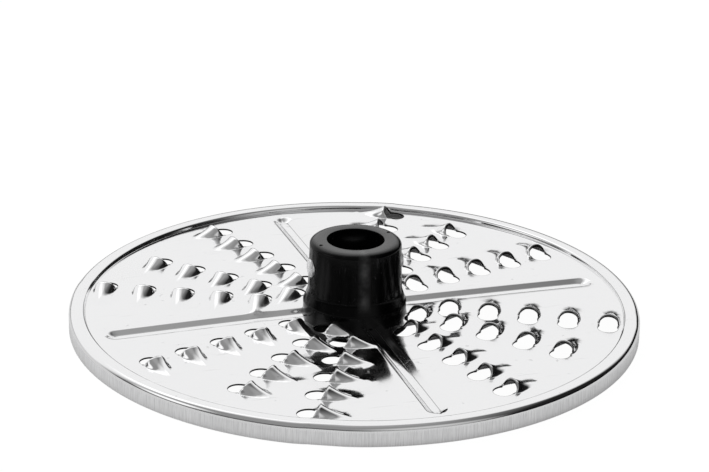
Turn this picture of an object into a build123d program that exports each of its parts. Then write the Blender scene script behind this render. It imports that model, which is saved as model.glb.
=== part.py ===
from build123d import *
from math import atan, cos, radians, sin, tan
import os

# A grating disc for a food processor: a stamped steel plate with pierced teeth on a moulded drive hub
os.makedirs("parts", exist_ok=True)

# Steel plate: one stamping of even sheet, with a raised rim and a skirt that it stands on
outer_diameter = 180.0
sheet = 0.8
rim_width = 5.1
rim_rise = 1.3
skirt_height = 6.5
rim_inner_round = 0.95
rim_outer_round = 1.8
rim_inner_steps = 1
rim_outer_steps = 2
centre_hole = 23.0

# Four pressed channels that stiffen the plate, in line with X and Y
channel_lines = 2
channel_reach = 80.5
channel_width = 6.6
channel_floor = 3.0
channel_depth = 1.1

# Grating teeth: three rows behind each channel, every tooth pushed up by a slanted, flat-sided punch
sectors = 4
row_angles = (28.5, 47.5, 73.1)
row_outer_radii = (80.2, 71.5, 75.9)
teeth_per_row = 5
tooth_pitch = 12.6
tooth_offset = 0.8
hole_diameter = 6.3
punch_diameter = 4.2
punch_sides = 8
punch_lift = 1.35
punch_slant = 22.5
mouth_setback = 2.0
mouth_lean = 26.5

# Moulded hub, with its flange on the plate and its collar below it
hub_height = 23.2
hub_diameter = 29.4
hub_edge_width = 3.0
hub_edge_drop = 1.4
hub_edge_steps = 1
flange_diameter = 32.6
flange_height = 3.5
shoulder_height = 6.5
collar_diameter = 34.0
collar_gap = 0.2
bore_diameter = 18.1
socket_diameter = 19.0
socket_depth = 15.0

# Steel cross pin that the motor shaft drives
pin_diameter = 5.8
pin_height = 15.0
pin_proud = 0.45
pin_fit = 0.02

# Places worked out from the sizes above
outer_radius = outer_diameter / 2
rim_inner_radius = outer_radius - rim_width
plate_top = skirt_height - rim_rise
plate_bottom = plate_top - sheet
hole_radius = hole_diameter / 2
punch_radius = punch_diameter / 2
scoop_radius = punch_radius + sheet
hub_top = plate_top + hub_height
pin_level = plate_top + pin_height
pin_length = hub_diameter + 2 * pin_proud

# How much wider a channel is underneath, where the sheet wraps its sloping sides
channel_side = (channel_width - channel_floor) / 2
channel_growth = sheet * tan(atan(channel_depth / channel_side) / 2)
under_reach = channel_reach + channel_growth


def round_points(width, drop, centre_r, top_z, first, last, steps):
    """Points round a corner of a revolved profile: a few straight steps, which keep the mesh light."""
    turns = [radians(first + (last - first) * step / steps) for step in range(steps + 1)]
    return [(centre_r + width * cos(turn), top_z - drop + drop * sin(turn)) for turn in turns]


def tooth_place(sector, row, step):
    """Plane of one tooth: its origin is the hole's centre and its x axis points to the tail."""
    angle = radians(360 / sectors * sector - row_angles[row])
    along = Vector(cos(angle), sin(angle), 0)
    behind = Vector(-sin(angle), cos(angle), 0)
    radius = row_outer_radii[row] - step * tooth_pitch
    centre = along * radius + behind * tooth_offset + Vector(0, 0, plate_top)
    return Plane(origin=centre, x_dir=behind, z_dir=(0, 0, 1))


tooth_places = [
    tooth_place(sector, row, step)
    for sector in range(sectors)
    for row in range(len(row_angles))
    for step in range(teeth_per_row)
]

# The punch starts above the hole's centre and slants down towards the tail, until it is below the sheet
slant = radians(punch_slant)
punch_reach = (punch_lift + scoop_radius + 2 * sheet) / sin(slant)
punch_axis = Plane(origin=(0, 0, punch_lift), x_dir=(0, 1, 0), z_dir=(cos(slant), 0, -sin(slant)))
ridge_turn = 90 % (360 / punch_sides)

# The mouth leans back over the hole, from its feet on the plate to the tooth's peak
lean = radians(mouth_lean)
mouth = Plane(origin=(mouth_setback, 0, 0), x_dir=(0, 1, 0), z_dir=(cos(lean), 0, -sin(lean)))

# Scoop of a tooth: the sheet pushed up round the punch, open at its leading end
with BuildPart() as scoop:
    with BuildSketch(punch_axis):
        RegularPolygon(scoop_radius, punch_sides, major_radius=False, rotation=ridge_turn)
    extrude(amount=punch_reach)
    split(bisect_by=Plane.XY.offset(-sheet / 2), keep=Keep.TOP)
    split(bisect_by=mouth, keep=Keep.TOP)

# Room under a tooth: the punch's own bore, and the hole through the sheet in front of it
with BuildPart() as gullet:
    with BuildSketch(punch_axis):
        RegularPolygon(punch_radius, punch_sides, major_radius=False, rotation=ridge_turn)
    extrude(amount=punch_reach)
    split(bisect_by=Plane.XY.offset(-2 * sheet), keep=Keep.TOP)
    with BuildSketch(Plane.XY.offset(-2 * sheet)):
        RegularPolygon(hole_radius, punch_sides, major_radius=False)
    extrude(amount=2 * sheet)

# Rounded corners of the revolved profiles
rim_inner_centre = rim_inner_radius + rim_inner_round
rim_inner_points = round_points(
    rim_inner_round, rim_inner_round, rim_inner_centre, skirt_height, 180, 90, rim_inner_steps
)
rim_outer_centre = outer_radius - rim_outer_round
rim_outer_points = round_points(
    rim_outer_round, rim_outer_round, rim_outer_centre, skirt_height, 90, 0, rim_outer_steps
)
hub_edge_centre = hub_diameter / 2 - hub_edge_width
hub_edge_points = round_points(
    hub_edge_width, hub_edge_drop, hub_edge_centre, hub_top, 0, 90, hub_edge_steps
)

# Plate: the revolved sheet, then its channels, centre hole and teeth
with BuildPart() as grating_plate:
    with BuildSketch(Plane.XZ):
        with BuildLine():
            visible = Polyline(
                (0, plate_top),
                (rim_inner_radius, plate_top),
                *rim_inner_points,
                *rim_outer_points,
                (outer_radius, 0),
            )
            offset(visible, amount=sheet, side=Side.RIGHT, kind=Kind.INTERSECTION)
        make_face()
    revolve(axis=Axis.Z)
    for line in range(channel_lines):
        turned = Plane.XY.rotated((0, 0, 180 / channel_lines * line))
        with BuildSketch(turned.offset(plate_bottom)):
            SlotOverall(2 * under_reach, channel_width + 2 * channel_growth)
        with BuildSketch(turned.offset(plate_bottom - channel_depth)):
            SlotOverall(2 * (under_reach - channel_side), channel_floor + 2 * channel_growth)
        loft(ruled=True)
    for line in range(channel_lines):
        turned = Plane.XY.rotated((0, 0, 180 / channel_lines * line))
        with BuildSketch(turned.offset(plate_top)):
            SlotOverall(2 * channel_reach, channel_width)
        with BuildSketch(turned.offset(plate_top - channel_depth)):
            SlotOverall(2 * (channel_reach - channel_side), channel_floor)
        loft(ruled=True, mode=Mode.SUBTRACT)
    Cylinder(centre_hole / 2, 4 * skirt_height, mode=Mode.SUBTRACT)
    with Locations(*tooth_places):
        add(scoop.part)
    with Locations(*tooth_places):
        add(gullet.part, mode=Mode.SUBTRACT)

grating_plate.part.label = "grating_plate"
export_step(grating_plate.part, "parts/grating_plate.step")

# Hub: one moulding round the plate's inner edge, bored for the shaft and cross-drilled for the pin
with BuildPart() as hub:
    with BuildSketch(Plane.XZ):
        with BuildLine():
            Polyline(
                (socket_diameter / 2, collar_gap),
                (collar_diameter / 2, collar_gap),
                (collar_diameter / 2, plate_bottom),
                (flange_diameter / 2, plate_bottom),
                (flange_diameter / 2, plate_top + flange_height),
                (hub_diameter / 2, plate_top + shoulder_height),
                *hub_edge_points,
                (bore_diameter / 2, hub_top),
                (bore_diameter / 2, collar_gap + socket_depth),
                (socket_diameter / 2, collar_gap + socket_depth),
                close=True,
            )
        make_face()
    revolve(axis=Axis.Z)
    add(grating_plate.part, mode=Mode.SUBTRACT)
    with BuildSketch(Plane.YZ):
        with Locations((0, pin_level)):
            Circle(pin_diameter / 2 + pin_fit)
    extrude(amount=pin_length, both=True, mode=Mode.SUBTRACT)

hub.part.label = "hub"
export_step(hub.part, "parts/hub.step")

# Pin: straight through the hub, proud at both ends
with BuildPart() as drive_pin:
    with BuildSketch(Plane.YZ):
        with Locations((0, pin_level)):
            Circle(pin_diameter / 2)
    extrude(amount=pin_length / 2, both=True)

drive_pin.part.label = "drive_pin"
export_step(drive_pin.part, "parts/drive_pin.step")
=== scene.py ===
import bpy
import math
from mathutils import Matrix, Vector
from mathutils.geometry import delaunay_2d_cdt


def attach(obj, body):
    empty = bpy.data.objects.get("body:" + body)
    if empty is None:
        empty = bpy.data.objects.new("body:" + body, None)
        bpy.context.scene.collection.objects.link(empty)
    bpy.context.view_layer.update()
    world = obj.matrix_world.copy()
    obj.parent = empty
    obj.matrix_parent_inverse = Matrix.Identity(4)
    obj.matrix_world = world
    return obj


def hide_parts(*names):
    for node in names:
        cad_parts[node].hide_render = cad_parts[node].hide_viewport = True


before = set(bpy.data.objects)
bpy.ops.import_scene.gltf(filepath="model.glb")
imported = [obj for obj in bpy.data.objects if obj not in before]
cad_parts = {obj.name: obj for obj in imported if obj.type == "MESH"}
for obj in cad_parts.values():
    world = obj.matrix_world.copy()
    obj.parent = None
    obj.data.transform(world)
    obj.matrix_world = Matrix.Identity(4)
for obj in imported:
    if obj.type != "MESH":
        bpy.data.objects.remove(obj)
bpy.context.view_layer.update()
bpy.ops.object.select_all(action="DESELECT")
mm = 0.001
mergeGap = 2e-6                   # metres
photoTurn = math.radians(-18.5)   # from the photograph's frame to the frame of the solids
plateTop = 5.2                    # mm above the floor


# selecting and editing

def startPiece(name):
    piece = bpy.context.active_object
    piece.name = name
    piece.data.name = name
    return piece


def onlyActive(piece):
    bpy.ops.object.select_all(action="DESELECT")
    piece.select_set(True)
    bpy.context.view_layer.objects.active = piece


def selectParts(piece, kind, test):
    # selects the vertices or faces that pass a test, and stays in edit mode
    bpy.ops.object.mode_set(mode="EDIT")
    bpy.ops.mesh.select_mode(type=kind)
    bpy.ops.mesh.select_all(action="DESELECT")
    bpy.ops.object.mode_set(mode="OBJECT")
    for part in piece.data.vertices if kind == "VERT" else piece.data.polygons:
        part.select = test(part)
    bpy.ops.object.mode_set(mode="EDIT")


def extrudeRings(profile):
    # pulls the selected ring of edges along a turned profile
    for (r0, z0), (r1, z1) in zip(profile, profile[1:]):
        bpy.ops.mesh.extrude_edges_move(TRANSFORM_OT_translate={"value": (0, 0, (z1 - z0) * mm)})
        bpy.ops.transform.resize(value=(r1 / r0, r1 / r0, 1), center_override=(0, 0, 0))


def roundSteps(wide, tall, centreR, centreZ, first, last, steps):
    # points round a corner of a turned profile, without the one that it starts from
    turns = [math.radians(first + (last - first) * i / steps) for i in range(1, steps + 1)]
    return [(centreR + wide * math.cos(t), centreZ + tall * math.sin(t)) for t in turns]


def applyModifiers(piece):
    onlyActive(piece)
    for modifier in list(piece.modifiers):
        bpy.ops.object.modifier_apply(modifier=modifier.name)


# pierced plate

plate = {
    "sheet": 0.5, "crown": 0.7, "centreHole": 11.5, "outerRadius": 89.95,
    "footRadius": 84.65, "footRound": 0.25, "rimWall": 84.9, "innerRound": 0.95,
    "rimTop": 6.5, "rimFlat": (86.6, 87.4), "outerRound": 1.8,
    "skirtRings": (4.3, 3.2, 2.0, 0.8, 0.3), "skirtEnd": 0.05, "skirtBevel": 0.08,
    "channelEnd": 77.2, "channelHalf": 3.35, "channelFloor": 1.35,
    "channelDepth": 1.15, "channelSoft": 0.3, "bendLine": 0.16, "bendShade": 0.7,
    "drawDepth": 0.33, "drawWidth": 4.2,
    "footSteps": 4, "innerSteps": 7, "outerSteps": 9, "arcSteps": 64, "holeSteps": 24, "spokes": 46,
    "smoothAngle": math.radians(58),
}
teeth = {
    "rowAngles": (28.5, 47.5, 73.1), "rowRadii": (80.2, 71.5, 75.9), "perRow": 5,
    "pitch": 12.6, "offset": 0.8, "hole": 3.2,
    "setback": 2.0, "archBack": 0.5, "lean": 0.54, "lip": 0.15,
    "peak": 3.1, "peakAt": 3.7, "tail": 15.0, "ridgeBend": 2.2, "tailFall": 0.3,
    "halfWidth": 3.3, "leastHalf": 0.35, "widestAt": 3.0, "flankEnd": 11.6, "flankBend": 0.55,
    "sideBreak": 0.94, "steepAt": 4.0, "steep": 0.45, "softAt": 9.0, "soft": 1.4,
    "blend": 0.45, "crease": 0.7, "drawDepth": 0.25, "drawWidth": 2.2,
    "edgeShadeWidth": 0.17, "edgeShadeBehind": 4.5, "edgeShadeBeside": 0.5,
    # how far from its hole's centre a tooth lifts the sheet, has painted shade on its cut edges and has
    # its mouth
    "liftReach": 18.166, "liftBox": (-6.0, 18.0, 8.0), "edgeShadeReach": 6.0, "mouthReach": 5.5,
    # rings of points from the mouth out to a loop round the whole tooth
    "rings": (0.02, 0.05, 0.09, 0.14, 0.19, 0.25, 0.31, 0.38, 0.46, 0.54, 0.63, 0.73, 0.85, 1.0),
    "loopAt": 2.0, "loopTail": 10.2, "loopHalf": 4.5, "loopFront": (4.4, 4.7),
    "archSteps": 32, "archTries": 40, "frontSteps": 16, "frontEdge": math.radians(62),
}
# points of the plate's surface, in mm: their gaps, and how far they keep from hole, foot and edges
net = {
    "cell": 0.3, "ringGap": 0.16, "laneGap": 0.14, "footGap": 0.09, "looseGap": 1.3, "loosePitch": 2.3,
    "ringClear": (0.5, 0.35, 0.4), "looseClear": (1.2, 1.2, 0.6),
    "lanes": (0.7, 1.19, 1.35, 1.51, 1.8, 2.2, 2.6, 3.0, 3.2, 3.35, 3.5, 3.9),
    "laneStart": 1.2, "laneStep": 1.5, "laneTurns": 3, "laneEdge": 0.2,
    "footInsets": (0.1, 0.3, 0.7, 1.4), "holeSlack": 0.998, "edgeSlack": 0.01, "sameWithin": 1e-6,
}


def softMax(a, b, width):
    h = max(width - abs(a - b), 0) / width
    return max(a, b) + h * h * width / 4


def softMin(a, b, width):
    return -softMax(-a, -b, width)


def flankWidth(x):
    u = max(x - teeth["widestAt"], 0) / (teeth["flankEnd"] - teeth["widestAt"])
    return max(teeth["halfWidth"] * max(1 - u * u, 0) ** teeth["flankBend"], teeth["leastHalf"])


def sectionHeight(t, x):
    # a round arch at the mouth that softens to a low swelling at the tail
    u = min(max((x - teeth["steepAt"]) / (teeth["softAt"] - teeth["steepAt"]), 0), 1)
    power = teeth["steep"] + (teeth["soft"] - teeth["steep"]) * u
    near = min(t, teeth["sideBreak"])
    inside = 1 - near * near
    return inside ** power - (t - near) * 2 * power * near * inside ** (power - 1)


def scoopHeight(x, y):
    # the pushed-up sheet behind the mouth: a ridge that falls to the tail, with rounded flanks
    u = (x - teeth["peakAt"]) / (teeth["tail"] - teeth["peakAt"])
    ridge = teeth["peak"] * min(max(1 - u, 0), 1) ** teeth["ridgeBend"]
    half = flankWidth(x)
    beyond = max(abs(y) - half, 0) + max(x - teeth["flankEnd"], 0) * teeth["tailFall"]
    return ridge * sectionHeight(abs(y) / half, x) - beyond


def mouthHeight(x):
    return (x - teeth["setback"]) / teeth["lean"]


def archPlace(y):
    # how far behind the hole's centre the scoop turns over into the mouth, at a place across it
    low, high = teeth["setback"] - teeth["archBack"], teeth["tail"]
    for step in range(teeth["archTries"]):
        middle = (low + high) / 2
        if scoopHeight(middle, y) > mouthHeight(middle):
            low = middle
        else:
            high = middle
    return low


def frontArc(wide, tall):
    n, edge = teeth["frontSteps"], teeth["frontEdge"]
    turns = [-edge - (2 * math.pi - 2 * edge) * i / n for i in range(n + 1)]
    return [(wide * math.cos(t), tall * math.sin(t)) for t in turns]


def mouthLoop():
    n, half, lip = teeth["archSteps"], flankWidth(teeth["setback"]), teeth["lip"]
    across = [half * math.cos(math.pi * i / n) for i in range(n + 1)]
    arch = [(archPlace(y), y) for y in across]
    lipped = [(x - lip * max(mouthHeight(x), 0), y) for x, y in arch]
    return lipped + frontArc(teeth["hole"], teeth["hole"])


def outerLoop():
    n, start, tail, half = teeth["archSteps"], teeth["loopAt"], teeth["loopTail"], teeth["loopHalf"]
    turns = [math.pi * i / n for i in range(n + 1)]
    back = [(start + tail * math.sin(t), half * math.cos(t)) for t in turns]
    return back + frontArc(*teeth["loopFront"])


def toothHeight(x, y):
    front, back, beside = teeth["liftBox"]
    if abs(y) > beside or x > back or x < front:
        return 0
    near = min(max(x, teeth["setback"]), teeth["flankEnd"])
    away = math.hypot(x - near, max(abs(y) - flankWidth(near), 0))
    drawn = teeth["drawDepth"] * math.exp(-(away / teeth["drawWidth"]) ** 2)
    pushed = softMin(scoopHeight(x, y), mouthHeight(x), teeth["crease"])
    return drawn + softMax(pushed, 0, teeth["blend"])


def edgeShadeAt(x, y):
    # how much painted shade a point gets as cut or torn sheet: the lip of a mouth and the edge of a hole,
    # darkened as if in shade
    if x > teeth["edgeShadeBehind"] or abs(y) > teeth["halfWidth"] + teeth["edgeShadeBeside"]:
        return 0
    edge, setback = teeth["edgeShadeWidth"], teeth["setback"]
    cut = 1 - (math.hypot(x, y) - teeth["hole"]) / edge if x < setback else 0
    torn = 0
    if x > setback - teeth["archBack"] and abs(y) < flankWidth(setback):
        torn = 0.5 + (archPlace(y) - x) / edge
    return min(max(cut, torn, 0), 1)


def toothPlaces():
    # the hole's centre of each tooth, and the directions along the tooth and across it
    places = []
    for angle, radius in zip(teeth["rowAngles"], teeth["rowRadii"]):
        turn = math.radians(-angle)
        along = Vector((math.cos(turn), math.sin(turn)))
        behind = Vector((-math.sin(turn), math.cos(turn)))
        for step in range(teeth["perRow"]):
            centre = along * (radius - step * teeth["pitch"]) + behind * teeth["offset"]
            places.append((centre, behind, -along))
    return places


def onPlate(place, x, y):
    # a tooth's own point, in plan
    centre, behind, side = place
    return centre.x + x * behind.x + y * side.x, centre.y + x * behind.y + y * side.y


def nearTeeth(x, y, places, reach):
    # a point in plan, as each tooth near it sees it
    for centre, behind, side in places:
        dx, dy = x - centre.x, y - centre.y
        if math.hypot(dx, dy) < reach:
            yield dx * behind.x + dy * behind.y, dx * side.x + dy * side.y


def fromChannels(x, y):
    # distances from the middle lines of both channels
    end = plate["channelEnd"]
    return [math.hypot(max(abs(along) - end, 0), across) for along, across in ((x, y), (y, x))]


def channelDepth(x, y):
    wide, narrow, soft = plate["channelHalf"], plate["channelFloor"], plate["channelSoft"]
    depth = 0
    for d in fromChannels(x, y):
        ramp = (wide - d) / (wide - narrow) * plate["channelDepth"]
        ramp = softMin(softMax(ramp, 0, soft), plate["channelDepth"], soft)
        drawn = plate["drawDepth"] * math.exp(-(d / plate["drawWidth"]) ** 2)
        depth = max(depth, ramp + drawn)
    return depth


def plateHeight(x, y, places):
    crown = plate["crown"] * max(1 - (math.hypot(x, y) / plate["footRadius"]) ** 2, 0)
    lifts = [toothHeight(*p) for p in nearTeeth(x, y, places, teeth["liftReach"])]
    return plateTop + crown - channelDepth(x, y) + max(lifts, default=0)


def plateEdgeShade(x, y, places):
    # painted shade: cut edges darkened, and a darkened line in the crease at the foot of a channel's
    # sides
    off = min(abs(d - plate["channelFloor"]) for d in fromChannels(x, y))
    bend = plate["bendShade"] * (1 - off / plate["bendLine"])
    return max([0, bend] + [edgeShadeAt(*p) for p in nearTeeth(x, y, places, teeth["edgeShadeReach"])])


def insideLoop(x, y, loop):
    inside = False
    for (x0, y0), (x1, y1) in zip(loop, loop[1:] + loop[:1]):
        if (y0 > y) != (y1 > y) and x < (x1 - x0) * (y - y0) / (y1 - y0) + x0:
            inside = not inside
    return inside


def inHole(p, places, mouths, own=None):
    # whether a point is in the mouth of a tooth, other than its own
    for index, (place, loop) in enumerate(zip(places, mouths)):
        if index != own and math.dist(p, place[0]) < teeth["mouthReach"] and insideLoop(*p, loop):
            return True
    return False


def isClear(p, gaps):
    # whether a point keeps its gaps from the centre hole, the rim's foot and the quarter's straight edges
    hole, foot, edge = gaps
    inner, outer = plate["centreHole"] + hole, plate["footRadius"] - foot
    return inner < math.hypot(*p) < outer and min(p[0], -p[1]) > edge


def quarterArc(radius, steps):
    turns = [math.pi / 2 * i / steps for i in range(1, steps)]
    return [(radius * math.sin(t), -radius * math.cos(t)) for t in turns]


def quarterOutline():
    # two channel floors, with the centre hole and the rim's foot between them
    inner, foot, spokes = plate["centreHole"], plate["footRadius"], plate["spokes"]
    radii = [inner + (foot - inner) * i / spokes for i in range(spokes + 1)]
    outline = [(r, 0.0) for r in reversed(radii)] + quarterArc(inner, plate["holeSteps"])[::-1]
    return outline + [(0.0, -r) for r in radii] + quarterArc(foot, plate["arcSteps"])


def quarterNet(places, mouth, mouths):
    # points inside the outline and round the mouths
    inner, foot, end = plate["centreHole"], plate["footRadius"], plate["channelEnd"]
    grid, kept = {}, []

    def cellOf(p):
        return round(p[0] / net["cell"]), round(p[1] / net["cell"])

    def isFree(p, gap):
        reach = int(gap / net["cell"]) + 1
        i, j = cellOf(p)
        for di in range(-reach, reach + 1):
            for dj in range(-reach, reach + 1):
                for q in grid.get((i + di, j + dj), ()):
                    if (p[0] - q[0]) ** 2 + (p[1] - q[1]) ** 2 < gap * gap:
                        return False
        return True

    def offer(p, gap):
        if isFree(p, gap):
            grid.setdefault(cellOf(p), []).append(p)
            kept.append(p)

    for loop in mouths:
        for p in loop:
            grid.setdefault(cellOf(p), []).append(p)

    # rings that follow each scoop
    outer = outerLoop()
    for index, place in enumerate(places):
        for share in teeth["rings"]:
            for (x0, y0), (x1, y1) in zip(mouth, outer):
                p = onPlate(place, x0 + (x1 - x0) * share, y0 + (y1 - y0) * share)
                if isClear(p, net["ringClear"]) and not inHole(p, places, mouths, index):
                    offer(p, net["ringGap"])

    # lanes along both channels and round their ends
    for lane in net["lanes"]:
        s = inner + net["laneStart"]
        while s < end:
            offer((s, -lane), net["laneGap"])
            offer((lane, -s), net["laneGap"])
            s += net["laneStep"]
        n = max(int(lane * net["laneTurns"]), net["laneTurns"])
        for i in range(n):
            t = math.pi / 2 * i / n
            along, across = end + lane * math.cos(t), lane * math.sin(t)
            if across > net["laneEdge"]:
                offer((along, -across), net["laneGap"])
                offer((across, -along), net["laneGap"])

    # rings beside the rim's foot
    for inset in net["footInsets"]:
        for p in quarterArc(foot - inset, plate["arcSteps"]):
            offer(p, net["footGap"])

    # a loose net over the rest
    pitch = net["loosePitch"]
    n = int(foot / pitch) + 1
    for i in range(n):
        for j in range(n):
            p = ((i + 0.5 * (j % 2)) * pitch, -(j + 0.5) * pitch)
            if isClear(p, net["looseClear"]) and not inHole(p, places, mouths):
                offer(p, net["looseGap"])
    return kept


def quarterPlate():
    # one quarter between two channels: triangles in plan, lifted to the plate's surface
    places, mouth = toothPlaces(), mouthLoop()
    mouths = [[onPlate(place, *p) for p in mouth] for place in places]
    points, edges = [], []
    for loop in [quarterOutline()] + mouths:
        start, n = len(points), len(loop)
        points += loop
        edges += [(start + i, start + (i + 1) % n) for i in range(n)]
    points += quarterNet(places, mouth, mouths)
    made = delaunay_2d_cdt([Vector(p) for p in points], edges, [], 0, net["sameWithin"], False)
    verts, faces = made[0], made[2]

    # only the triangles on the sheet, all facing up
    least, most = plate["centreHole"] * net["holeSlack"], plate["footRadius"]
    used, order, tris = {}, [], []
    for face in faces:
        if len(face) != 3:
            continue
        a, b, c = (verts[i] for i in face)
        x, y = (a.x + b.x + c.x) / 3, (a.y + b.y + c.y) / 3
        if x < 0 or y > 0 or not least <= math.hypot(x, y) <= most or inHole((x, y), places, mouths):
            continue
        area = (b.x - a.x) * (c.y - a.y) - (c.x - a.x) * (b.y - a.y)
        tri = face if area > 0 else face[::-1]
        for i in tri:
            if i not in used:
                used[i] = len(order)
                order.append(verts[i])
        tris.append([used[i] for i in tri])
    placed = [(p.x * mm, p.y * mm, plateHeight(p.x, p.y, places) * mm) for p in order]
    return placed, tris, [plateEdgeShade(p.x, p.y, places) for p in order]


def rimProfile():
    # from the plate's edge up the rim, over it and down the skirt
    foot, top, edge = plate["footRadius"], plate["rimTop"], plate["outerRadius"]
    low, near, far = plate["footRound"], plate["innerRound"], plate["outerRound"]
    profile = [(foot, plateTop)]
    profile += roundSteps(low, low, foot, plateTop + low, -90, 0, plate["footSteps"])
    profile += roundSteps(near, near, plate["rimWall"] + near, top - near, 180, 90, plate["innerSteps"])
    profile += [(r, top) for r in plate["rimFlat"]]
    profile += roundSteps(far, far, edge - far, top - far, 90, 0, plate["outerSteps"])
    profile += [(edge, z) for z in plate["skirtRings"]]
    return profile + [(edge - plate["skirtBevel"], plate["skirtEnd"])]


def makePlate():
    placed, tris, edgeShade = quarterPlate()
    mesh = bpy.data.meshes.new("gratingPlate")
    mesh.from_pydata(placed, [], tris)
    # painted shade on cut edges and channel creases, kept on each point
    mesh.attributes.new("edgeShade", "FLOAT", "POINT").data.foreach_set("value", edgeShade)
    piece = bpy.data.objects.new("gratingPlate", mesh)
    bpy.context.scene.collection.objects.link(piece)
    onlyActive(piece)

    # three turned copies close the disc
    bpy.ops.object.mode_set(mode="EDIT")
    bpy.ops.mesh.select_mode(type="VERT")
    bpy.ops.mesh.select_all(action="SELECT")
    for turn in range(3):
        bpy.ops.mesh.duplicate()
        bpy.ops.transform.rotate(value=math.pi / 2, orient_axis="Z", center_override=(0, 0, 0))
    bpy.ops.mesh.select_all(action="SELECT")
    bpy.ops.mesh.remove_doubles(threshold=mergeGap)

    # raised rim and skirt, pulled ring by ring from the plate's edge
    edge = (plate["footRadius"] - net["edgeSlack"]) * mm
    selectParts(piece, "VERT", lambda vert: math.hypot(vert.co.x, vert.co.y) > edge)
    extrudeRings(rimProfile())
    bpy.ops.object.mode_set(mode="OBJECT")

    # sheet thickness, downwards and inwards
    wall = piece.modifiers.new("sheet", "SOLIDIFY")
    wall.thickness = plate["sheet"] * mm
    wall.offset = -1
    applyModifiers(piece)
    bpy.ops.object.shade_smooth_by_angle(angle=plate["smoothAngle"])
    return piece


plateSheet = makePlate()
print("plate:", len(plateSheet.data.polygons), "faces")


# moulded hub

hub = {
    "socket": 9.5, "socketTop": 15.2, "seat": 4.4,
    "collar": 17.0, "collarBottom": 0.2, "collarBevel": 0.3,
    "flange": 16.3, "flangeTop": 8.7, "flangeRound": 0.5, "flangeTurn": 60, "flangeSteps": 4,
    # the cone ends in a soft bend: steps out from the foot's radius and up from its top
    "footRadius": 14.9, "footTop": 11.7, "footBend": ((0.28, -0.55), (0.06, 0.1), (-0.03, 0.8)),
    "middle": 19.5, "middleDraft": 0.2, "topRadius": 14.45, "top": 28.4,
    "edgeWidth": 2.6, "edgeDrop": 1.5, "edgeSteps": 12,
    "bore": 9.05, "boreEdge": 0.15, "boreSteps": 4, "boreMiddle": 24.0, "segments": 128,
    "pinLevel": 20.2, "pinHole": 2.95, "pinHoleLength": 40, "pinHoleSides": 48,
    "dimples": ((-171.0, 12.1), (13.0, 12.1)), "dimpleSize": 0.75, "dimpleRise": 0.35,
    "smoothAngle": math.radians(32),
}


def turnProfile(name, profile, segments):
    r, z = profile[0]
    bpy.ops.mesh.primitive_circle_add(vertices=segments, radius=r * mm, location=(0, 0, z * mm))
    piece = startPiece(name)
    bpy.ops.object.transform_apply(location=True)
    bpy.ops.object.mode_set(mode="EDIT")
    bpy.ops.mesh.select_all(action="SELECT")
    extrudeRings(profile)
    bpy.ops.mesh.select_all(action="SELECT")
    bpy.ops.mesh.remove_doubles(threshold=mergeGap)
    bpy.ops.mesh.normals_make_consistent(inside=False)
    bpy.ops.object.mode_set(mode="OBJECT")
    return piece


def crossRod(radius, length, sides):
    # lies along X at the pin's level
    place = (0, 0, hub["pinLevel"] * mm)
    bpy.ops.mesh.primitive_cylinder_add(vertices=sides, radius=radius * mm, depth=length * mm,
                                        location=place, rotation=(0, math.pi / 2, 0))
    return bpy.context.active_object


def cutWith(piece, cutter):
    cut = piece.modifiers.new("cut", "BOOLEAN")
    cut.operation = "DIFFERENCE"
    cut.solver = "EXACT"
    cut.object = cutter
    applyModifiers(piece)
    bpy.data.objects.remove(cutter)


def hubProfile():
    # from the socket's lower edge out round the collar, up the outside, over the top and down the bore
    bottom, collar, bevel = hub["collarBottom"], hub["collar"], hub["collarBevel"]
    flange, step, shoulder = hub["flange"], hub["flangeRound"], hub["flangeTop"] - hub["flangeRound"]
    profile = [(hub["socket"], bottom), (collar - bevel, bottom), (collar, bottom + bevel)]
    profile += [(collar, hub["seat"]), (flange, hub["seat"]), (flange, shoulder)]
    profile += roundSteps(step, step, flange - step, shoulder, 0, hub["flangeTurn"], hub["flangeSteps"])
    profile += [(hub["footRadius"] + out, hub["footTop"] + up) for out, up in hub["footBend"]]
    profile += [(hub["topRadius"] + hub["middleDraft"], hub["middle"])]
    top, radius, wide, drop = hub["top"], hub["topRadius"], hub["edgeWidth"], hub["edgeDrop"]
    profile += [(radius, top - drop)]
    profile += roundSteps(wide, drop, radius - wide, top - drop, 0, 90, hub["edgeSteps"])
    bore, edge = hub["bore"], hub["boreEdge"]
    profile += [(bore + edge, top)]
    profile += roundSteps(edge, edge, bore + edge, top - edge, 90, 180, hub["boreSteps"])
    profile += [(bore, hub["boreMiddle"]), (bore, hub["socketTop"])]
    return profile + [(hub["socket"], hub["socketTop"]), (hub["socket"], bottom)]


def makeHub():
    piece = turnProfile("hubBody", hubProfile(), hub["segments"])
    cutWith(piece, crossRod(hub["pinHole"], hub["pinHoleLength"], hub["pinHoleSides"]))
    for angle, radius in hub["dimples"]:
        turn = math.radians(angle)
        place = Vector((radius * math.cos(turn), radius * math.sin(turn), hub["top"] + hub["dimpleRise"]))
        bpy.ops.mesh.primitive_uv_sphere_add(segments=16, ring_count=8, radius=hub["dimpleSize"] * mm,
                                             location=place * mm)
        cutWith(piece, bpy.context.active_object)
    onlyActive(piece)
    bpy.ops.object.shade_smooth_by_angle(angle=hub["smoothAngle"])
    return piece


hubBody = makeHub()
print("hub:", len(hubBody.data.polygons), "faces")


# cross pin

pin = {
    "radius": 2.9, "half": 15.15, "edge": 0.3, "edgeSteps": 4, "sides": 64,
    "smoothAngle": math.radians(40),
}


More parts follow.
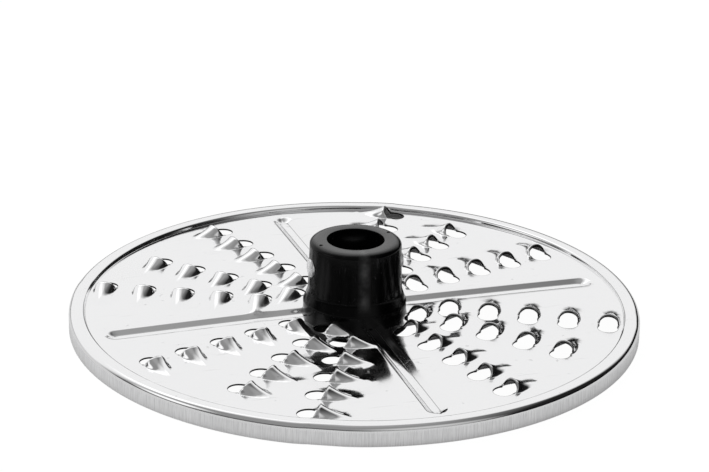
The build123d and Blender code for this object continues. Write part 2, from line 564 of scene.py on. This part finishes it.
def makePin():
    crossRod(pin["radius"], 2 * pin["half"], pin["sides"])
    piece = startPiece("crossPin")
    bpy.ops.object.transform_apply(location=True, rotation=True)
    selectParts(piece, "FACE", lambda face: abs(face.normal.x) > 0.9)   # both ends
    bpy.ops.mesh.region_to_loop()
    bpy.ops.mesh.bevel(offset=pin["edge"] * mm, segments=pin["edgeSteps"], profile=0.5)
    bpy.ops.object.mode_set(mode="OBJECT")
    onlyActive(piece)
    bpy.ops.object.shade_smooth_by_angle(angle=pin["smoothAngle"])
    return piece


crossPin = makePin()
print("pin:", len(crossPin.data.polygons), "faces")


# finishes

mixSockets = {"FLOAT": (2, 3, 0), "RGBA": (6, 7, 2)}   # a Mix node's two inputs and its output


def newMaterial(name):
    material = bpy.data.materials.new(name)
    material.use_nodes = True
    tree = material.node_tree
    tree.nodes.clear()
    output = tree.nodes.new("ShaderNodeOutputMaterial")
    shader = tree.nodes.new("ShaderNodeBsdfPrincipled")
    tree.links.new(shader.outputs["BSDF"], output.inputs["Surface"])
    return material, tree, shader


def feed(tree, socket, value):
    # a plain value is set on the socket, and a node's output is linked to it
    if isinstance(value, (int, float, tuple)):
        socket.default_value = value
    else:
        tree.links.new(value, socket)


def feedAll(tree, node, values):
    for name, value in values.items():
        feed(tree, node.inputs[name], value)


def addNode(tree, kind, **values):
    node = tree.nodes.new(kind)
    for key, value in values.items():
        if key in node.bl_rna.properties:
            setattr(node, key, value)
        else:
            feed(tree, node.inputs[key], value)
    return node


def mathNode(tree, operation, a, b=0.0, clamp=False):
    node = addNode(tree, "ShaderNodeMath", operation=operation, use_clamp=clamp)
    feed(tree, node.inputs[0], a)
    feed(tree, node.inputs[1], b)
    return node.outputs[0]


def plus(tree, a, b):
    return mathNode(tree, "ADD", a, b)


def times(tree, a, b):
    return mathNode(tree, "MULTIPLY", a, b)


def mixOf(tree, kind, share, a, b):
    first, second, result = mixSockets[kind]
    node = addNode(tree, "ShaderNodeMix", data_type=kind)
    for index, value in ((0, share), (first, a), (second, b)):
        feed(tree, node.inputs[index], value)
    return node.outputs[result]


def mixColor(tree, share, a, b):
    return mixOf(tree, "RGBA", share, a, b)


def mapRange(tree, value, fromRange, toRange=(0.0, 1.0)):
    node = tree.nodes.new("ShaderNodeMapRange")
    for socket, number in zip(node.inputs, (value, *fromRange, *toRange)):
        feed(tree, socket, number)
    return node.outputs[0]


def objectCoords(tree):
    return tree.nodes.new("ShaderNodeTexCoord").outputs["Object"]


def axesOf(tree, vector):
    return addNode(tree, "ShaderNodeSeparateXYZ", Vector=vector).outputs


def noiseOn(tree, vector, scale, detail, roughness=0.5):
    node = addNode(tree, "ShaderNodeTexNoise", Vector=vector, Scale=scale,
                   Detail=detail, Roughness=roughness)
    return node.outputs["Fac"]


def bumpOf(tree, height, look):
    node = addNode(tree, "ShaderNodeBump", Height=height,
                   Strength=look["bump"], Distance=look["bumpDepth"])
    return node.outputs[0]


marksLook = {
    "lines": ((0.5, 14.0), (2.1, 20.0)),   # turn and stretch
    "lineRange": (0.70, 0.76), "speckRange": (0.74, 0.80),
}


def fineMarks():
    # small scratches and specks, as a mask, for metal and plastic alike
    group = bpy.data.node_groups.new("fineMarks", "ShaderNodeTree")
    face = group.interface
    face.new_socket("Vector", in_out="INPUT", socket_type="NodeSocketVector")
    for name in ("Scratch Scale", "Speck Scale"):
        face.new_socket(name, in_out="INPUT", socket_type="NodeSocketFloat")
    for name in ("Scratches", "Specks"):
        face.new_socket(name, in_out="OUTPUT", socket_type="NodeSocketFloat")
    start = group.nodes.new("NodeGroupInput").outputs
    end = group.nodes.new("NodeGroupOutput")
    scratches = 0.0
    for turn, stretch in marksLook["lines"]:
        mapping = addNode(group, "ShaderNodeMapping", Vector=start["Vector"],
                          Rotation=(0, 0, turn), Scale=(1, stretch, 1))
        noise = noiseOn(group, mapping.outputs[0], start["Scratch Scale"], detail=2.0)
        scratches = mathNode(group, "MAXIMUM", scratches, mapRange(group, noise, marksLook["lineRange"]))
    noise = noiseOn(group, start["Vector"], start["Speck Scale"], detail=1.0)
    specks = mapRange(group, noise, marksLook["speckRange"])
    feedAll(group, end, {"Scratches": scratches, "Specks": specks})
    return group


marks = fineMarks()


def placeMarks(tree, vector, look):
    node = addNode(tree, "ShaderNodeGroup", node_tree=marks)
    feedAll(tree, node, {
        "Vector": vector, "Scratch Scale": look["scratchScale"], "Speck Scale": look["speckScale"],
    })
    return node.outputs["Scratches"], node.outputs["Specks"]


def wearOn(tree, vector, look):
    scratches, specks = placeMarks(tree, vector, look)
    return mathNode(tree, "ADD", times(tree, scratches, look["scratches"]),
                    times(tree, specks, look["specks"]), clamp=True)


steelLook = {
    # the near-black edge colour is painted shade, for cut edges and channel creases
    "color": (0.84, 0.84, 0.845, 1), "dull": (0.70, 0.70, 0.705, 1), "edgeShade": (0.03, 0.03, 0.03, 1),
    "skirtDark": (0.72, 0.72, 0.725, 1), "skirtLight": (0.97, 0.97, 0.975, 1),
    "skirtOutside": (0.08955, 0.08985), "skirtBelow": (0.0051, 0.0043),   # metres
    "brushScale": 2600.0, "brushAround": 0.09, "brushDown": 0.06, "brushRange": (0.3, 0.7),
    "grainScale": 160.0, "grainStretch": 18, "smearScale": 38.0, "smearRange": (0.35, 0.7),
    "scratchScale": 55.0, "speckScale": 420.0, "scratches": 0.45, "specks": 0.8,
    "smearRough": (0.05, 0.10), "skirtRough": (0.30, 0.42),
    "grainRough": 0.05, "wearRough": 0.2, "shearRough": 0.3,
    "brushHeight": 0.5, "grainHeight": 0.02, "bump": 0.25, "bumpDepth": 0.00008,
}


def polishedSteel():
    look = steelLook
    material, tree, shader = newMaterial("polishedSteel")
    coords = objectCoords(tree)
    x, y, z = axesOf(tree, coords)
    # the skirt below the rim's round is brushed up and down
    radius = mathNode(tree, "SQRT", plus(tree, times(tree, x, x), times(tree, y, y)))
    side = times(tree, mapRange(tree, radius, look["skirtOutside"]),
                 mapRange(tree, z, look["skirtBelow"]))
    angle = mathNode(tree, "ARCTAN2", y, x)
    around = addNode(tree, "ShaderNodeCombineXYZ", X=times(tree, angle, look["brushAround"]),
                     Z=times(tree, z, look["brushDown"]))
    brush = noiseOn(tree, around.outputs[0], look["brushScale"], detail=3.0, roughness=0.6)
    brushed = mapRange(tree, brush, look["brushRange"])
    # faint rolling grain, smears and marks over the polished face
    rolled = addNode(tree, "ShaderNodeMapping", Vector=coords, Scale=(1, look["grainStretch"], 1))
    grain = noiseOn(tree, rolled.outputs[0], look["grainScale"], detail=4.0, roughness=0.65)
    smear = noiseOn(tree, coords, look["smearScale"], detail=3.0)
    wear = wearOn(tree, coords, look)
    edgeShade = addNode(tree, "ShaderNodeAttribute", attribute_name="edgeShade").outputs["Fac"]
    face = mixColor(tree, wear, look["color"], look["dull"])
    # painted shade: cut edges and channel creases turn near black
    face = mixColor(tree, edgeShade, face, look["edgeShade"])
    skirt = mixColor(tree, brushed, look["skirtDark"], look["skirtLight"])
    rough = mapRange(tree, smear, look["smearRange"], look["smearRough"])
    for mask, more in ((grain, "grainRough"), (wear, "wearRough"), (edgeShade, "shearRough")):
        rough = plus(tree, rough, times(tree, mask, look[more]))
    sideRough = mapRange(tree, brushed, (0.0, 1.0), look["skirtRough"])
    height = plus(tree, times(tree, times(tree, brushed, side), look["brushHeight"]),
                  times(tree, grain, look["grainHeight"]))
    feedAll(tree, shader, {
        "Base Color": mixColor(tree, side, face, skirt),
        "Roughness": mixOf(tree, "FLOAT", side, rough, sideRough),
        "Normal": bumpOf(tree, height, look),
        "Metallic": 1,
    })
    return material


plasticLook = {
    "dark": ((0.0012, 0.0012, 0.0013, 1), (0.003, 0.003, 0.0031, 1)),
    # the paler top colours are painted light for the top face
    "topPaintedLight": ((0.008, 0.008, 0.0083, 1), (0.016, 0.016, 0.0163, 1)),
    "topFrom": (0.02795, 0.02835),   # metres
    # the band colour is a painted highlight
    "worn": (0.055, 0.055, 0.056, 1), "paintedHighlight": (0.12, 0.12, 0.121, 1),
    "grainScale": 1500.0, "cloudScale": 140.0,
    "scratchScale": 170.0, "speckScale": 900.0, "scratches": 0.5, "specks": 0.6,
    # where the painted highlight runs down the hub's front, and how it fades and breaks into patches
    "bandTurn": math.radians(-97.0), "bandFade": (0.02, 0.15),   # radians
    "bandFoot": (0.0095, 0.0125), "bandCloud": (0.35, 0.68), "bandPatches": (0.15, 1.0),
    "cloudRange": (0.3, 0.7), "cloudRough": (0.12, 0.20), "topRough": 0.1, "wornRough": 0.12,
    "wornDepth": 0.6, "bump": 0.22, "bumpDepth": 0.00006,
    "specular": 0.12, "topCoat": 0.65, "coatRough": 0.22,
}


def blackPlastic():
    look = plasticLook
    material, tree, shader = newMaterial("blackPlastic")
    coords = objectCoords(tree)
    x, y, z = axesOf(tree, coords)
    grain = noiseOn(tree, coords, look["grainScale"], detail=3.0, roughness=0.6)
    cloud = noiseOn(tree, coords, look["cloudScale"], detail=4.0, roughness=0.6)
    worn = wearOn(tree, coords, look)
    topFace = mapRange(tree, z, look["topFrom"])
    # painted light: the top face takes a paler copy of the black, as if lit from above; it also gets a
    # clear coat
    base = mixColor(tree, topFace, mixColor(tree, cloud, *look["dark"]),
                    mixColor(tree, cloud, *look["topPaintedLight"]))
    # painted highlight: a speckled pale band runs down the front of the hub, where a lamp's reflection
    # falls
    turn = mathNode(tree, "ARCTAN2", y, x)
    aside = mathNode(tree, "ABSOLUTE", mathNode(tree, "SUBTRACT", turn, look["bandTurn"]))
    paintedHighlight = times(tree, mapRange(tree, aside, look["bandFade"], (1.0, 0.0)),
                 mapRange(tree, z, look["bandFoot"]))
    paintedHighlight = times(tree, paintedHighlight, mapRange(tree, cloud, look["bandCloud"], look["bandPatches"]))
    base = mixColor(tree, paintedHighlight, base, look["paintedHighlight"])
    rough = mapRange(tree, cloud, look["cloudRange"], look["cloudRough"])
    for mask, more in ((topFace, "topRough"), (worn, "wornRough")):
        rough = plus(tree, rough, times(tree, mask, look[more]))
    height = mathNode(tree, "SUBTRACT", grain, times(tree, worn, look["wornDepth"]))
    feedAll(tree, shader, {
        "Base Color": mixColor(tree, worn, base, look["worn"]),
        "Roughness": rough,
        "Normal": bumpOf(tree, height, look),
        "Specular IOR Level": look["specular"],
        "Coat Roughness": look["coatRough"],
        "Coat Weight": times(tree, topFace, look["topCoat"]),
    })
    return material


pinLook = {
    "dark": (0.74, 0.74, 0.745, 1), "light": (0.93, 0.93, 0.935, 1), "scratch": (0.42, 0.42, 0.425, 1),
    "grainScale": 900.0, "scratchScale": 300.0, "speckScale": 900.0,
    "roughRange": (0.3, 0.7), "rough": (0.24, 0.36), "bump": 0.2, "bumpDepth": 0.00005,
}


def groundSteel():
    look = pinLook
    material, tree, shader = newMaterial("groundSteel")
    coords = objectCoords(tree)
    grain = noiseOn(tree, coords, look["grainScale"], detail=3.0)
    scratches = placeMarks(tree, coords, look)[0]
    tone = mixColor(tree, grain, look["dark"], look["light"])
    feedAll(tree, shader, {
        "Base Color": mixColor(tree, scratches, tone, look["scratch"]),
        "Roughness": mapRange(tree, grain, look["roughRange"], look["rough"]),
        "Normal": bumpOf(tree, grain, look),
        "Metallic": 1,
    })
    return material


for piece, material, slotName, nodeName in (
    (plateSheet, polishedSteel(), "plate_steel", "grating_plate"),
    (hubBody, blackPlastic(), "hub_plastic", "hub"),
    (crossPin, groundSteel(), "pin_steel", "drive_pin"),
):
    for mesh in (piece.data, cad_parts[nodeName].data):
        mesh.materials.clear()
        mesh.materials.append(material)
    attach(piece, "root")
    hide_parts(nodeName)
print("finishes done")


# floor, light and camera

studio = {
    "floorSize": 8.0, "floorColor": (0.93, 0.93, 0.93, 1), "floorRough": 0.9,
    "floorWhite": 1.06, "floorGlow": 0.92, "floorMirror": 0.42, "underEdge": (0.086, 0.094),   # metres
    "back": 1.0, "front": 0.30, "dark": 0.015, "above": 0.40,
    # azimuths are in the photograph's frame, and each fade is where a share of light starts and ends
    "paperAzimuth": 106.0, "paperRise": 0.25, "paperFade": (0.46, 0.72),
    "leanAzimuth": 180.0, "paperLean": 0.25, "paperFoot": (0.13, 0.26),
    "darkAzimuth": 20.0, "darkFade": (0.25, 0.7), "roomFade": (0.05, 0.42), "roomFoot": 0.1,
    "aboveFade": (0.82, 0.905), "frontRaise": 0.1,
    # azimuth and height, then the angles of full and no light, and strength
    "glows": (
        (-58.0, 20.0, 14.0, 30.0, 0.38),
        (192.0, 26.0, 8.0, 20.0, 0.9),
        (125.0, 60.0, 12.0, 24.0, 0.45),
    ),
}
# distance in mm, focal length in pixels of a picture of this width
view = {
    "azimuth": -90.0, "elevation": 23.28, "distance": 908.2, "pan": -0.026, "tilt": 1.421, "roll": 1.033,
    "focal": 2872.0, "width": 709, "sensor": 36, "clip": (0.01, 50),
}


def heading(azimuth, lift=0.0):
    turn, lift = math.radians(azimuth) + photoTurn, math.radians(lift)
    return math.cos(turn) * math.cos(lift), math.sin(turn) * math.cos(lift), math.sin(lift)


def makeFloor():
    bpy.ops.mesh.primitive_plane_add(size=studio["floorSize"])
    floor = startPiece("floor")
    material, tree, shader = newMaterial("palePaper")
    feedAll(tree, shader, {
        "Base Color": studio["floorColor"], "Roughness": studio["floorRough"], "Specular IOR Level": 0.0,
    })
    glow = addNode(tree, "ShaderNodeEmission", Color=(1, 1, 1, 1), Strength=studio["floorWhite"])
    # painted shade: the paper under the disc gives less glow to reflections, standing in for its shade
    away = addNode(tree, "ShaderNodeVectorMath", operation="LENGTH", Vector=objectCoords(tree))
    lit = mapRange(tree, away.outputs["Value"], studio["underEdge"], (0.0, studio["floorMirror"]))
    path = tree.nodes.new("ShaderNodeLightPath").outputs
    share = plus(tree, times(tree, path["Is Camera Ray"], studio["floorGlow"]),
                 times(tree, path["Is Glossy Ray"], lit))
    mix = tree.nodes.new("ShaderNodeMixShader")
    for socket, value in zip(mix.inputs, (share, shader.outputs[0], glow.outputs[0])):
        feed(tree, socket, value)
    output = next(n for n in tree.nodes if n.type == "OUTPUT_MATERIAL")
    tree.links.new(mix.outputs[0], output.inputs["Surface"])
    floor.data.materials.append(material)


def makeWorld():
    world = bpy.data.worlds.new("studio")
    bpy.context.scene.world = world
    world.use_nodes = True
    tree = world.node_tree
    tree.nodes.clear()
    direction = tree.nodes.new("ShaderNodeTexCoord").outputs["Generated"]
    height = axesOf(tree, direction)[2]

    def facing(x, y, z):
        node = addNode(tree, "ShaderNodeVectorMath", operation="DOT_PRODUCT")
        feed(tree, node.inputs[0], direction)
        feed(tree, node.inputs[1], (x, y, z))
        return node.outputs["Value"]

    # a room that is dark on the right and dims towards the floor
    room = mapRange(tree, facing(*heading(studio["darkAzimuth"])), studio["darkFade"],
                    (studio["front"], studio["dark"]))
    room = times(tree, room, mapRange(tree, height, studio["roomFade"], (studio["roomFoot"], 1.0)))
    # bright paper behind, which reaches lower on the left than on the right
    x, y = heading(studio["paperAzimuth"])[:2]
    side = mapRange(tree, facing(x, y, studio["paperRise"]), studio["paperFade"])
    x, y = heading(studio["leanAzimuth"])[:2]
    lean = studio["paperLean"]
    low = mapRange(tree, facing(x * lean, y * lean, 1), studio["paperFoot"])
    around = mixOf(tree, "FLOAT", times(tree, side, low), room, studio["back"])
    # dimmer above, from higher up in front
    front = times(tree, mathNode(tree, "SUBTRACT", 1.0, side), studio["frontRaise"])
    up = mapRange(tree, mathNode(tree, "SUBTRACT", height, front), studio["aboveFade"])
    total = mixOf(tree, "FLOAT", up, around, studio["above"])
    for azimuth, lift, full, none, strength in studio["glows"]:
        fade = (math.cos(math.radians(none)), math.cos(math.radians(full)))
        total = plus(tree, total, mapRange(tree, facing(*heading(azimuth, lift)), fade, (0.0, strength)))
    # the camera sees plain white
    path = tree.nodes.new("ShaderNodeLightPath").outputs
    shown = mixOf(tree, "FLOAT", path["Is Camera Ray"], total, 1.0)
    back = addNode(tree, "ShaderNodeBackground", Color=(1, 1, 1, 1), Strength=shown)
    out = tree.nodes.new("ShaderNodeOutputWorld")
    tree.links.new(back.outputs[0], out.inputs["Surface"])


def makeCamera():
    away = Vector(heading(view["azimuth"], view["elevation"]))
    right = Vector(heading(view["azimuth"] + 90))
    up = right.cross(-away)
    pan, tilt, roll = (math.radians(view[name]) for name in ("pan", "tilt", "roll"))
    ahead = (-away + right * math.tan(pan) + up * math.tan(tilt)).normalized()
    right = ahead.cross(Vector((0, 0, 1))).normalized()
    up = right.cross(ahead)
    right, up = right * math.cos(roll) + up * math.sin(roll), up * math.cos(roll) - right * math.sin(roll)
    data = bpy.data.cameras.new("camera")
    data.sensor_fit = "HORIZONTAL"
    data.sensor_width = view["sensor"]
    data.lens = view["focal"] * view["sensor"] / view["width"]
    data.clip_start, data.clip_end = view["clip"]
    camera = bpy.data.objects.new("camera", data)
    bpy.context.scene.collection.objects.link(camera)
    camera.matrix_world = Matrix((right, up, -ahead)).transposed().to_4x4()
    camera.location = Vector((0, 0, plateTop * mm)) + away * view["distance"] * mm
    bpy.context.scene.camera = camera


makeFloor()
makeWorld()
makeCamera()
bpy.context.scene.view_settings.view_transform = "Standard"
print("studio done")
